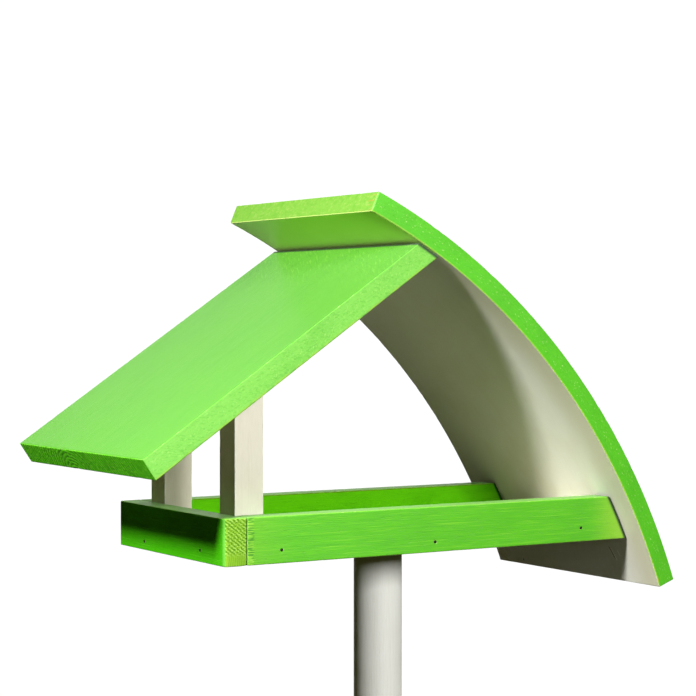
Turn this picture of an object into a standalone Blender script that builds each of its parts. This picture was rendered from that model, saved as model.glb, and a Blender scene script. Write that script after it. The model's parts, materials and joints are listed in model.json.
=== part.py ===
"""Bird feeder on a pole.

A green tray of planed boards stands on a round white pole. A flat board slopes up from the
front, on two square posts, and meets a curved plywood panel, which is the top of the roof and
the back in one piece. The pole stands in a cross foot with four braces.

Units are metres, +Z is up, the ground is z = 0 and the pole's axis is the Z axis. The eaves are
at -X and the curved back is at +X. Left and right are as seen from the front, looking along +X:
left is +Y and right is -Y. Heights inside the house are measured from the tray's rim.
"""
import math

import bmesh
import bpy
from mathutils import Matrix, Vector

GAP = 0.0003                      # clearance between two pieces that touch
ARRIS = 0.0005                    # softened edge of a planed board
ARRIS_SEGMENTS = 1

# Tray: a front board and two side boards round a floor, all flush underneath. The curved
# panel closes the back.
RIM_HEIGHT = 0.976                # top of the tray above the ground
BOARD = 0.019                     # thickness of the tray's boards and of its floor
TRAY_DEPTH = 0.036                # rim to underside
TRAY_WIDTH = 0.180
TRAY_FRONT = -0.1917              # outer face of the front board
FRONT_INSIDE = TRAY_FRONT + BOARD
TRAY_INSIDE = TRAY_WIDTH / 2 - BOARD
FLOOR_TOP = BOARD - TRAY_DEPTH
CORNER_RADIUS = 0.0035            # the front board's two upright outer corners
CORNER_SEGMENTS = 5

# Curved panel: an arc about (ARC_X, ARC_Z), from its top front end down to its bottom end.
ARC_X = -0.2943
ARC_Z = -0.2579
ARC_RADIUS = 0.5327               # inner face
PANEL_THICK = 0.0166
PANEL_WIDTH = 0.2245
PANEL_TOP = math.radians(65.99)
PANEL_BOTTOM = math.radians(19.98)
PANEL_STEPS = 28
PANEL_GAP = 0.0005                # open joint between the tray's boards and the panel

# Sloping roof board, placed by the upper edge of its low end.
ROOF_WIDTH = PANEL_WIDTH
ROOF_THICK = 0.0188
ROOF_SLOPE = math.radians(33.87)
EAVE_X = -0.2690
EAVE_Z = 0.0477
ROOF_GAP = 0.0010                 # open joint between the roof board's end and the panel
END_STEPS = 4                     # arc steps on the end of a board that meets the panel

# Square posts in the tray's front corners.
POST = 0.0248

# Round pole and the steel plate that joins it to the tray.
POLE_RADIUS = 0.020
POLE_CHAMFER = 0.001
PLATE_RADIUS = 0.042
PLATE_THICK = 0.003
PLATE_SCREW_CIRCLE = 0.031
POLE_SIDES = 48

# Cross foot: two boards half-lapped at the middle, with a brace on each arm.
FOOT_SPAN = 0.560
FOOT_WIDTH = 0.070
FOOT_THICK = 0.028
FOOT_CHAMFER = 0.008
BRACE_THICK = 0.022
BRACE_RUN = 0.150
BRACE_RISE = 0.160
BRACE_BLUNT = 0.018
BRACE_ROOT = 0.010                # where the brace's outline starts, before the pole's cove

# Fasteners. Nails are placed by (x or y, height) on the board that they are driven into.
NAIL_RADIUS = 0.0008
NAIL_HEAD = 0.0010
NAIL_HEAD_DEPTH = 0.0012
NAIL_LENGTH = 0.038
NAIL_POINT = 0.003
NAIL_SET = 0.0010                 # depth of a nail's head below the board's face
SIDE_NAILS = ((-0.143, -0.0258), (-0.004, -0.0278), (0.141, -0.0247))
FRONT_NAILS = ((0.044, -0.0290), (-0.051, -0.0270))
SCREW_RADIUS = 0.0020
SCREW_HEAD = 0.0040
SCREW_RIM = 0.0004                # straight edge of a countersunk head
SCREW_POINT = 0.004
SCREW_SINK = 0.0005               # depth of a countersunk head below the face
PAN_HEAD_HEIGHT = 0.0024
POST_SCREW_LENGTH = 0.040
ROOF_SCREW_LENGTH = 0.032
ROOF_SCREW_SPREAD = 0.085         # from the middle screw to the outer ones
ROOF_SCREW_DROP = 0.016           # radians of arc below the roof's upper face
SIDE_SCREW_LENGTH = 0.040
SIDE_SCREW_Z = -0.010             # where the screw leaves the panel's inner face
FLOOR_SCREW_LENGTH = 0.035
FLOOR_SCREW_Z = -0.022
FLOOR_SCREW_Y = 0.035
POLE_SCREW_LENGTH = 0.050
PLATE_SCREW_LENGTH = 0.017
BRACE_SCREW_Z = 0.120             # height of a brace's upper screw above the foot
BRACE_SCREW_SINK = 0.012          # its head's depth below the brace's sloping edge
BRACE_SCREW_END = 0.007           # its point's distance from the pole's axis
FOOT_SCREW_LENGTH = 0.055
FOOT_SCREW_PLACES = (("inner", 0.060), ("outer", 0.120))
DRILL_RISE = 0.004                # how far a drilled hole's cutter stands above the head
DOWEL_RADIUS = 0.0030
DOWEL_LENGTH = 0.020
DOWEL_CHAMFER = 0.001
BOLT_RADIUS = 0.0040
BOLT_LENGTH = 0.070
BOLT_HEAD = 0.0065                # half the distance across the hexagon's flats
BOLT_HEAD_HEIGHT = 0.0053
BOLT_POINT = 0.006
WASHER_RADIUS = 0.010
WASHER_THICK = 0.0016
RECESS_DEPTH = 0.0080
OVER = 0.005                      # how far a cutter runs past the face that it opens
TURNED_STEPS = 12
ROUND_STEPS = 32

GREEN = (0.160, 0.665, 0.048)
WHITE = (0.720, 0.730, 0.660)
STEEL = (0.560, 0.570, 0.580)
DARK_STEEL = (0.110, 0.100, 0.090)
BEECH = (0.620, 0.430, 0.240)


# ---------------------------------------------------------------- scene, materials, helpers

def empty_scene():
    """Remove whatever the scene holds, and make the two collections."""
    for item in list(bpy.data.objects):
        bpy.data.objects.remove(item, do_unlink=True)
    made = []
    for name in ("bird_feeder_on_pole", "cutters"):
        group = bpy.data.collections.new(name)
        bpy.context.scene.collection.children.link(group)
        made.append(group)
    return made


def paint(name, colour, roughness=0.45, metallic=0.0):
    """One Principled material of its own for a piece."""
    material = bpy.data.materials.new(name + "_finish")
    material.use_nodes = True
    shader = material.node_tree.nodes["Principled BSDF"]
    shader.inputs["Base Color"].default_value = (*colour, 1.0)
    shader.inputs["Roughness"].default_value = roughness
    shader.inputs["Metallic"].default_value = metallic
    return material


def link(item, colour=None, parent=None, roughness=0.45, metallic=0.0):
    """Put an object in its collection: a part when it has a colour, a cutter when not."""
    if colour is None:
        CUTTERS.objects.link(item)
        item.hide_render = True
        item.display_type = "WIRE"
    else:
        PARTS.objects.link(item)
        item.data.materials.append(paint(item.name, colour, roughness, metallic))
    item.parent = parent
    return item


def soften(item, width=ARRIS):
    """Round the edges of a board, and leave the shallow steps of an arc alone."""
    bevel = item.modifiers.new("arris", "BEVEL")
    bevel.width = width
    bevel.segments = ARRIS_SEGMENTS
    bevel.limit_method = "ANGLE"
    bevel.angle_limit = math.radians(35)


def boolean(item, other, operation="DIFFERENCE"):
    """Cut one object by another, or join the two."""
    step = item.modifiers.new(other.name, "BOOLEAN")
    step.operation = operation
    step.solver = "EXACT"
    step.object = other


def box(name, low, high, colour, parent, front_radius=0.0):
    """A board given by its lowest and highest corners, its two upright -X edges rounded."""
    low, high = Vector(low), Vector(high)
    mesh = bpy.data.meshes.new(name)
    cube = bmesh.new()
    bmesh.ops.create_cube(cube, size=1.0)
    bmesh.ops.scale(cube, vec=high - low, verts=cube.verts)
    if front_radius:
        upright = [edge for edge in cube.edges
                   if all(vert.co.x < 0.0 for vert in edge.verts)
                   and edge.verts[0].co.z * edge.verts[1].co.z < 0.0]
        bmesh.ops.bevel(cube, geom=upright, offset=front_radius, segments=CORNER_SEGMENTS,
                        affect="EDGES", profile=0.5)
    cube.to_mesh(mesh)
    cube.free()
    item = link(bpy.data.objects.new(name, mesh), colour, parent)
    item.location = (low + high) / 2
    return item


def outline_solid(name, points, width, colour, parent, y=0.0, turn=0.0):
    """A flat outline in X and Z, thick along Y, set at y and then turned about the Z axis."""
    curve = bpy.data.curves.new(name + "_outline", "CURVE")
    curve.dimensions = "2D"
    curve.fill_mode = "BOTH"
    curve.extrude = width / 2
    spline = curve.splines.new("POLY")
    spline.points.add(len(points) - 1)
    for knot, (x, z) in zip(spline.points, points):
        knot.co = (x, z, 0.0, 1.0)
    spline.use_cyclic_u = True
    guide = bpy.data.objects.new(name + "_outline", curve)
    CUTTERS.objects.link(guide)
    evaluated = guide.evaluated_get(bpy.context.evaluated_depsgraph_get())
    mesh = bpy.data.meshes.new_from_object(evaluated)
    mesh.name = name
    bpy.data.objects.remove(guide, do_unlink=True)
    weld = bmesh.new()
    weld.from_mesh(mesh)
    bmesh.ops.remove_doubles(weld, verts=weld.verts, dist=1e-6)
    bmesh.ops.recalc_face_normals(weld, faces=weld.faces)
    weld.transform(Matrix.Rotation(math.pi / 2, 4, "X"))
    weld.to_mesh(mesh)
    weld.free()
    item = link(bpy.data.objects.new(name, mesh), colour, parent)
    item.location = Matrix.Rotation(turn, 3, "Z") @ Vector((0.0, y, 0.0))
    item.rotation_euler.z = turn
    return item


def turned(name, profile, colour, parent, steps=TURNED_STEPS, roughness=0.45, metallic=0.0):
    """A round piece: a profile of (radius, height) from top to bottom, spun about Z."""
    mesh = bpy.data.meshes.new(name)
    points = [(radius, 0.0, height) for radius, height in profile]
    mesh.from_pydata(points, [(i, i + 1) for i in range(len(points) - 1)], [])
    item = link(bpy.data.objects.new(name, mesh), colour, parent, roughness, metallic)
    spin = item.modifiers.new("turn", "SCREW")
    spin.steps = steps
    spin.render_steps = steps
    spin.use_merge_vertices = True
    spin.merge_threshold = 1e-5
    spin.use_smooth_shade = True
    return item


# ---------------------------------------------------------------- geometry of the house

def arc_point(angle, radius):
    """A point (x, z) of the curved panel's circle."""
    return (ARC_X + radius * math.cos(angle), ARC_Z + radius * math.sin(angle))


def arc_run(start, stop, radius, steps):
    """Points along the panel's circle, both ends included."""
    return [arc_point(start + (stop - start) * i / steps, radius) for i in range(steps + 1)]


def arc_angle_at_height(z, radius):
    """The circle's angle where it passes a height."""
    return math.asin((z - ARC_Z) / radius)


def arc_angle_on_slope(x, z, radius):
    """The circle's angle where a line up the roof's slope from (x, z) meets it."""
    run, rise = math.cos(ROOF_SLOPE), math.sin(ROOF_SLOPE)
    from_x, from_z = x - ARC_X, z - ARC_Z
    along = from_x * run + from_z * rise
    reach = from_x ** 2 + from_z ** 2 - radius ** 2
    distance = -along + math.sqrt(along ** 2 - reach)
    return math.atan2(from_z + distance * rise, from_x + distance * run)


def roof_underside(x):
    """Height of the roof board's lower face above the rim."""
    return EAVE_Z - ROOF_THICK / math.cos(ROOF_SLOPE) + (x - EAVE_X) * math.tan(ROOF_SLOPE)


def board_to_panel(start, low, high, clearance):
    """Outline of a level board from x = start to the panel, with its end cut to the arc."""
    radius = ARC_RADIUS - clearance
    end = arc_run(arc_angle_at_height(low, radius), arc_angle_at_height(high, radius),
                  radius, END_STEPS)
    return [(start, low), *end, (start, high)]


def tray(house):
    """Front board, two side boards and the floor between them."""
    width = TRAY_WIDTH / 2
    front = box("front_board", (TRAY_FRONT, -width, -TRAY_DEPTH), (FRONT_INSIDE, width, 0.0),
                GREEN, house, front_radius=CORNER_RADIUS)
    side = board_to_panel(FRONT_INSIDE + GAP, -TRAY_DEPTH, 0.0, PANEL_GAP)
    middle = width - BOARD / 2
    left = outline_solid("side_board_left", side, BOARD, GREEN, house, y=middle)
    right = outline_solid("side_board_right", side, BOARD, GREEN, house, y=-middle)
    level = board_to_panel(FRONT_INSIDE + GAP, -TRAY_DEPTH, FLOOR_TOP, PANEL_GAP)
    floor = outline_solid("floor_board", level, 2 * (TRAY_INSIDE - GAP), GREEN, house)
    return {"front": front, "left": left, "right": right, "floor": floor}


def posts(house):
    """Two square posts that stand on the floor in its front corners and carry the roof."""
    front = FRONT_INSIDE + GAP
    back = front + POST
    clearance = GAP / math.cos(ROOF_SLOPE)
    outline = [
        (front, FLOOR_TOP + GAP),
        (back, FLOOR_TOP + GAP),
        (back, roof_underside(back) - clearance),
        (front, roof_underside(front) - clearance),
    ]
    made = {}
    for side, sign in (("left", 1), ("right", -1)):
        y = sign * (TRAY_INSIDE - GAP - POST / 2)
        made[side] = outline_solid("post_" + side, outline, POST, WHITE, house, y=y)
    return made


def roof_board(house):
    """The sloping board, square at the eaves and cut to the panel's arc at its upper end."""
    radius = ARC_RADIUS - ROOF_GAP
    low_x = EAVE_X + ROOF_THICK * math.sin(ROOF_SLOPE)
    low_z = EAVE_Z - ROOF_THICK * math.cos(ROOF_SLOPE)
    end = arc_run(arc_angle_on_slope(low_x, low_z, radius),
                  arc_angle_on_slope(EAVE_X, EAVE_Z, radius), radius, END_STEPS)
    outline = [(EAVE_X, EAVE_Z), (low_x, low_z), *end]
    return outline_solid("roof_board", outline, ROOF_WIDTH, GREEN, house)


def curved_panel(house):
    """The bent plywood panel: an arc of even thickness with square-cut ends."""
    inner = arc_run(PANEL_BOTTOM, PANEL_TOP, ARC_RADIUS, PANEL_STEPS)
    outer = arc_run(PANEL_TOP, PANEL_BOTTOM, ARC_RADIUS + PANEL_THICK, PANEL_STEPS)
    return outline_solid("curved_panel", inner + outer, PANEL_WIDTH, GREEN, house)


# ---------------------------------------------------------------- fasteners

def nail_profile():
    """A finishing nail: a small head that tapers into the shank."""
    return [(0.0, 0.0), (NAIL_HEAD, 0.0), (NAIL_HEAD, -NAIL_HEAD_DEPTH * 2 / 3),
            (NAIL_RADIUS, -NAIL_HEAD_DEPTH), (NAIL_RADIUS, NAIL_POINT - NAIL_LENGTH),
            (0.0, -NAIL_LENGTH)]


def countersunk_profile(length):
    """A wood screw with a flat head, its top at z = 0."""
    cone = SCREW_HEAD - SCREW_RADIUS
    return [(0.0, 0.0), (SCREW_HEAD, 0.0), (SCREW_HEAD, -SCREW_RIM),
            (SCREW_RADIUS, -SCREW_RIM - cone), (SCREW_RADIUS, SCREW_POINT - length),
            (0.0, -length)]


def pan_head_profile(length):
    """A domed head above the seat at z = 0, and a shank below it."""
    edge = PAN_HEAD_HEIGHT / 4
    crown = PAN_HEAD_HEIGHT - edge
    dome = [(SCREW_HEAD * math.sin(tilt), edge + crown * math.cos(tilt))
            for tilt in (math.radians(22.5 * step) for step in range(5))]
    return [*dome, (SCREW_HEAD, 0.0), (SCREW_RADIUS, 0.0),
            (SCREW_RADIUS, SCREW_POINT - length), (0.0, -length)]


def dowel_profile():
    """A chamfered dowel, its middle at z = 0."""
    half, tip = DOWEL_LENGTH / 2, DOWEL_RADIUS - DOWEL_CHAMFER
    return [(0.0, half), (tip, half), (DOWEL_RADIUS, half - DOWEL_CHAMFER),
            (DOWEL_RADIUS, DOWEL_CHAMFER - half), (tip, -half), (0.0, -half)]


def grown(profile, rise):
    """The hole for a fastener: its profile with clearance all round, open by `rise` above."""
    top = profile[0][1]
    inside = [(radius + GAP, height) for radius, height in profile[1:-1]]
    inside[0] = (inside[0][0], top + rise)
    return [(0.0, top + rise), *inside, (0.0, profile[-1][1] - 2 * GAP)]


def drive(name, profile, colour, parent, head, direction, boards, rise=DRILL_RISE,
          metallic=1.0):
    """Set a fastener with its head at `head`, point it along `direction` and drill its boards."""
    aim = Vector((0.0, 0.0, -1.0)).rotation_difference(Vector(direction))
    fastener = turned(name, profile, colour, parent, roughness=0.4, metallic=metallic)
    hole = turned(name + "_hole", grown(profile, rise), None, parent)
    for item in (fastener, hole):
        item.location = head
        item.rotation_mode = "QUATERNION"
        item.rotation_quaternion = aim
    for board in boards:
        boolean(board, hole)


def panel_screw(name, house, angle, y, length, board, panel):
    """A screw driven square through the curved panel into the end of a board."""
    x, z = arc_point(angle, ARC_RADIUS + PANEL_THICK)
    inward = Vector((-math.cos(angle), 0.0, -math.sin(angle)))
    head = Vector((x, y, z)) + SCREW_SINK * inward
    drive(name, countersunk_profile(length), STEEL, house, head, inward, (panel, board))


def house_fasteners(house, boards, legs, roof, panel):
    """Nails round the floor, screws through the panel, dowels and screws at the posts."""
    for side, sign in (("left", 1), ("right", -1)):
        for number, (x, z) in enumerate(SIDE_NAILS, start=1):
            head = (x, sign * (TRAY_WIDTH / 2 - NAIL_SET), z)
            drive(f"nail_{side}_{number}", nail_profile(), DARK_STEEL, house, head,
                  (0.0, -sign, 0.0), (boards[side], boards["floor"]))
        # screw up through the floor into the foot of the post
        post_x = FRONT_INSIDE + GAP + POST / 2
        post_y = sign * (TRAY_INSIDE - GAP - POST / 2)
        drive(f"post_screw_{side}", countersunk_profile(POST_SCREW_LENGTH), STEEL, house,
              (post_x, post_y, SCREW_SINK - TRAY_DEPTH), (0.0, 0.0, 1.0),
              (boards["floor"], legs[side]))
        # dowel square to the roof's slope, half in the post and half in the roof board
        drive(f"roof_dowel_{side}", dowel_profile(), BEECH, house,
              (post_x, post_y, roof_underside(post_x)),
              (math.sin(ROOF_SLOPE), 0.0, -math.cos(ROOF_SLOPE)),
              (legs[side], roof), rise=2 * GAP, metallic=0.0)
    for number, (y, z) in enumerate(FRONT_NAILS, start=1):
        drive(f"nail_front_{number}", nail_profile(), DARK_STEEL, house,
              (TRAY_FRONT + NAIL_SET, y, z), (1.0, 0.0, 0.0),
              (boards["front"], boards["floor"]))
    roof_angle = arc_angle_on_slope(EAVE_X, EAVE_Z, ARC_RADIUS) - ROOF_SCREW_DROP
    for name, sign in (("left", 1), ("middle", 0), ("right", -1)):
        panel_screw(f"roof_screw_{name}", house, roof_angle, sign * ROOF_SCREW_SPREAD,
                    ROOF_SCREW_LENGTH, roof, panel)
    side_angle = arc_angle_at_height(SIDE_SCREW_Z, ARC_RADIUS)
    floor_angle = arc_angle_at_height(FLOOR_SCREW_Z, ARC_RADIUS)
    for side, sign in (("left", 1), ("right", -1)):
        panel_screw(f"side_screw_{side}", house, side_angle,
                    sign * (TRAY_WIDTH / 2 - BOARD / 2), SIDE_SCREW_LENGTH, boards[side], panel)
        panel_screw(f"floor_screw_{side}", house, floor_angle, sign * FLOOR_SCREW_Y,
                    FLOOR_SCREW_LENGTH, boards["floor"], panel)


# ---------------------------------------------------------------- pole and foot

def plate_and_pole(house, stand, floor):
    """The steel plate under the tray's floor, its screws, and the pole below it."""
    top = -TRAY_DEPTH - GAP
    plate = turned("pole_plate", [(0.0, top), (PLATE_RADIUS, top),
                                  (PLATE_RADIUS, top - PLATE_THICK), (0.0, top - PLATE_THICK)],
                   STEEL, house, steps=POLE_SIDES, roughness=0.4, metallic=1.0)
    pole_top = RIM_HEIGHT + top - PLATE_THICK - GAP
    pole_foot = FOOT_THICK + GAP
    shoulder = POLE_RADIUS - POLE_CHAMFER
    pole = turned("pole", [(0.0, pole_top), (shoulder, pole_top),
                           (POLE_RADIUS, pole_top - POLE_CHAMFER),
                           (POLE_RADIUS, pole_foot + POLE_CHAMFER),
                           (shoulder, pole_foot), (0.0, pole_foot)],
                  WHITE, stand, steps=POLE_SIDES)
    # one long screw down through the plate into the end of the pole
    drive("pole_screw", countersunk_profile(POLE_SCREW_LENGTH), STEEL, house,
          (0.0, 0.0, top - GAP), (0.0, 0.0, -1.0), (plate, pole))
    for number in range(4):
        angle = math.radians(45 + 90 * number)
        seat = (PLATE_SCREW_CIRCLE * math.cos(angle), PLATE_SCREW_CIRCLE * math.sin(angle),
                top - PLATE_THICK - GAP)
        drive(f"plate_screw_{number + 1}", pan_head_profile(PLATE_SCREW_LENGTH), STEEL, house, seat,
              (0.0, 0.0, 1.0), (plate, floor))
    return pole


def foot_boards(stand):
    """Two equal boards, each halved at the middle so that both lie on the ground."""
    half, top = FOOT_SPAN / 2, FOOT_THICK
    outline = [(-half, 0.0), (half, 0.0), (half, top - FOOT_CHAMFER),
               (half - FOOT_CHAMFER, top), (FOOT_CHAMFER - half, top),
               (-half, top - FOOT_CHAMFER)]
    lower = outline_solid("foot_board_lower", outline, FOOT_WIDTH, WHITE, stand)
    upper = outline_solid("foot_board_upper", outline, FOOT_WIDTH, WHITE, stand,
                          turn=math.pi / 2)
    lap = FOOT_WIDTH / 2 + GAP
    middle = FOOT_THICK / 2
    lower_lap = box("lower_lap", (-lap, -lap - OVER, middle), (lap, lap + OVER, top + OVER),
                    None, stand)
    upper_lap = box("upper_lap", (-lap - OVER, -lap, -OVER),
                    (lap + OVER, lap, middle + GAP), None, stand)
    for board, notch in ((lower, lower_lap), (upper, upper_lap)):
        soften(board)
        boolean(board, notch)
    return lower, upper


def foot_bolt(stand, lower, upper, pole):
    """A hexagon screw and its washer, sunk in the underside, that hold the pole down."""
    seat = RECESS_DEPTH
    hole, high, low = BOLT_RADIUS + GAP, seat - GAP, seat - GAP - WASHER_THICK
    turned("foot_washer", [(hole, high), (WASHER_RADIUS, high), (WASHER_RADIUS, low),
                           (hole, low), (hole, high)],
           STEEL, stand, steps=ROUND_STEPS, metallic=1.0, roughness=0.4)
    under_head = low - GAP
    in_head = under_head - BOLT_HEAD_HEIGHT / 4
    tip = under_head + BOLT_LENGTH
    shank = [(0.0, tip), (BOLT_RADIUS, tip - BOLT_POINT), (BOLT_RADIUS, in_head),
             (0.0, in_head)]
    bolt = turned("foot_bolt", shank, STEEL, stand, metallic=1.0, roughness=0.4)
    head = bmesh.new()
    corner = BOLT_HEAD / math.cos(math.pi / 6)
    bmesh.ops.create_cone(head, cap_ends=True, segments=6, radius1=corner, radius2=corner,
                          depth=BOLT_HEAD_HEIGHT)
    mesh = bpy.data.meshes.new("foot_bolt_head")
    head.to_mesh(mesh)
    head.free()
    hexagon = link(bpy.data.objects.new("foot_bolt_head", mesh), None, stand)
    hexagon.location = (0.0, 0.0, under_head - BOLT_HEAD_HEIGHT / 2)
    boolean(bolt, hexagon, "UNION")
    wide = WASHER_RADIUS + 2 * GAP
    recess = turned("foot_recess", [(0.0, seat), (wide, seat), (wide, -OVER), (0.0, -OVER)],
                    None, stand, steps=ROUND_STEPS)
    bore = turned("foot_bore", [(0.0, tip + 2 * GAP), (hole, tip - BOLT_POINT), (hole, -OVER),
                                (0.0, -OVER)], None, stand)
    boolean(lower, recess)
    for piece in (lower, upper, pole):
        boolean(piece, bore)


def braces(stand, lower, upper, pole):
    """Four braces, one on each arm of the foot, screwed to the arm and to the pole."""
    base = FOOT_THICK + GAP
    toe = POLE_RADIUS + BRACE_RUN
    shoulder = POLE_RADIUS + BRACE_BLUNT
    crown = base + BRACE_RISE
    outline = [(BRACE_ROOT, base), (toe, base), (toe, base + BRACE_BLUNT),
               (shoulder, crown), (BRACE_ROOT, crown)]
    near, high, low = POLE_RADIUS + GAP, crown + OVER, base - OVER
    cove = turned("brace_cove", [(0.0, high), (near, high), (near, low), (0.0, low)],
                  None, stand, steps=POLE_SIDES)
    screw_z = base + BRACE_SCREW_Z
    slope = (toe - shoulder) / (BRACE_RISE - BRACE_BLUNT)
    head = shoulder + (crown - screw_z) * slope - BRACE_SCREW_SINK
    for number, (name, board) in enumerate((("rear", lower), ("left", upper),
                                            ("front", lower), ("right", upper))):
        turn = number * math.pi / 2
        out = Matrix.Rotation(turn, 3, "Z") @ Vector((1.0, 0.0, 0.0))
        brace = outline_solid("brace_" + name, outline, BRACE_THICK, WHITE, stand, turn=turn)
        soften(brace)
        boolean(brace, cove)
        drive(f"brace_pole_screw_{name}", countersunk_profile(head - BRACE_SCREW_END), STEEL,
              stand, out * head + Vector((0.0, 0.0, screw_z)), -out, (brace, pole),
              rise=2 * BRACE_SCREW_SINK)
        for place, reach in FOOT_SCREW_PLACES:
            drive(f"brace_foot_screw_{name}_{place}", countersunk_profile(FOOT_SCREW_LENGTH),
                  STEEL, stand, out * reach + Vector((0.0, 0.0, SCREW_SINK)), (0.0, 0.0, 1.0),
                  (brace, board))


def build():
    """Assemble the feeder."""
    house = bpy.data.objects.new("house", None)
    stand = bpy.data.objects.new("stand", None)
    for frame in (house, stand):
        PARTS.objects.link(frame)
    house.location.z = RIM_HEIGHT
    boards = tray(house)
    legs = posts(house)
    roof = roof_board(house)
    panel = curved_panel(house)
    for piece in (*boards.values(), *legs.values(), roof, panel):
        soften(piece)
    house_fasteners(house, boards, legs, roof, panel)
    pole = plate_and_pole(house, stand, boards["floor"])
    lower, upper = foot_boards(stand)
    foot_bolt(stand, lower, upper, pole)
    braces(stand, lower, upper, pole)


PARTS, CUTTERS = empty_scene()
build()
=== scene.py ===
"""Looks of the bird feeder on a pole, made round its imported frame.

Every wooden piece is a finely divided board with eased edges. It is shaped in its own grain
coordinates, which run along, across and through the board, and is then laid or bent into place.
The frame's solid of the same node gives it its drilled holes, notches and end cuts.
"""

import json
import math

import bmesh
import bpy
import numpy as np
from mathutils import Matrix, Vector, noise

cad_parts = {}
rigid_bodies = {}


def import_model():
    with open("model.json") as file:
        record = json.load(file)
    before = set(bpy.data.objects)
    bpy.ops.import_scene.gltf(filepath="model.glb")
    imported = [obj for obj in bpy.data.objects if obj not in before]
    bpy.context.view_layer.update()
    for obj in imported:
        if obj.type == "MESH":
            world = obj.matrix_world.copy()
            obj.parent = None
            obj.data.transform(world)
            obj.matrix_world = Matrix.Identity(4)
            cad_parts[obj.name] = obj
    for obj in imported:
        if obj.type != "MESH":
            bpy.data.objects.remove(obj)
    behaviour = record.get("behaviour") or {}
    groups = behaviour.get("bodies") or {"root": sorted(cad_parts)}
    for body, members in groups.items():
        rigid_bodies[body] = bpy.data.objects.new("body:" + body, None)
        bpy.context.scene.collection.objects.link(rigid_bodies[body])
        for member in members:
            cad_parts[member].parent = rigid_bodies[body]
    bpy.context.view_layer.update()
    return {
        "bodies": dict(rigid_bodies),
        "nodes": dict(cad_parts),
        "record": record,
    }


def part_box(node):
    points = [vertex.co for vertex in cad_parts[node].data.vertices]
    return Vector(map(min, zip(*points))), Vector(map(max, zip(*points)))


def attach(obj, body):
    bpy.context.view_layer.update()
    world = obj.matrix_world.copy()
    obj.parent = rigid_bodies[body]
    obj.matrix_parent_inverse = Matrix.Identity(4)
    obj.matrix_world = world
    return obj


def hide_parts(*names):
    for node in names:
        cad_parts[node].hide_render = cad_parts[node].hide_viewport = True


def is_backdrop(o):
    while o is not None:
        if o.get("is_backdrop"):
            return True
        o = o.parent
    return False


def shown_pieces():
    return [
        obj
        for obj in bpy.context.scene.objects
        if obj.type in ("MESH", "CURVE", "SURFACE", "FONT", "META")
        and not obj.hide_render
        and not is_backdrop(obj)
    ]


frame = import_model()
BODY = next(iter(frame["bodies"]))

# ---------------- sizes
INSET = 0.0001                    # every made face lies this far inside the frame's solid
EASING = 0.0008                   # radius of a board's eased edges
EASING_SEGMENTS = 3
SUPPORT = 0.0010                  # first row of faces beside an eased edge
RELIEF = 0.00006                  # depth of the unevenness that planing leaves
CHIP = 0.00035                    # depth of the dents along an edge
CORNER_RADIUS = 0.0035            # the front board's two upright outer corners
END_ZONE = 0.05                   # how far thin paint reaches from a board's ends

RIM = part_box("front_board")[1].z
ARC_X = -0.2943                   # axis of the curved panel
ARC_Z = RIM - 0.2579
ARC_RADIUS = 0.5327
PANEL_THICK = 0.0166
PANEL_TOP = math.radians(65.99)
PANEL_BOTTOM = math.radians(19.98)
JOINT_ANGLE = math.radians(58.8)  # where the roof board meets the panel
ROOF_SLOPE = math.radians(33.87)
ROOF_THICK = 0.0188
EAVE_X = -0.2690                  # upper edge of the roof board's low end
EAVE_Z = RIM + 0.0477
TRAY_GAP = 0.0005                 # open joints against the panel
ROOF_GAP = 0.0010
POLE_RADIUS = 0.020
FOOT_CHAMFER = 0.008
BRACE_THICK = 0.022
BRACE_LENGTH = 0.35               # of the board that a brace is cut from
BRACE_RUN = 0.150                 # how far a brace reaches from the pole
BRACE_BLUNT = 0.018               # height of its toe and width of its top
BRACE_START = POLE_RADIUS + 0.002    # first row of its faces
RECESS_SPAN = 0.0044              # the cross recess in a screw's head
RECESS_WIDTH = 0.0011
RECESS_DEPTH = 0.0018
RECESS_TAPER = (0.35, 0.6)        # its floor's span and width, as shares of those at the top
RECESS_TURN = 0.4                 # how far it is turned from the frame's axes, in radians
TOUCHING = 0.0003                 # gap between the posts and the roof board
SEAM = 0.0026                     # reach of the painted shade beside an open joint
ROUND_SIDES = 128                 # facets round a turned piece
GRID = 0.008                      # spacing of the rows of faces on the pole and the braces
FLOOR_RADIUS = 4.2

FACE, EDGE, END, WALL, INNER, OVERHANG = range(6)    # a board's material slots; WALL: bores, cuts

# ---------------- mesh work


def spread(length, step):
    """How many cuts divide a length into steps."""
    return max(1, round(length / step)) - 1


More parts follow.
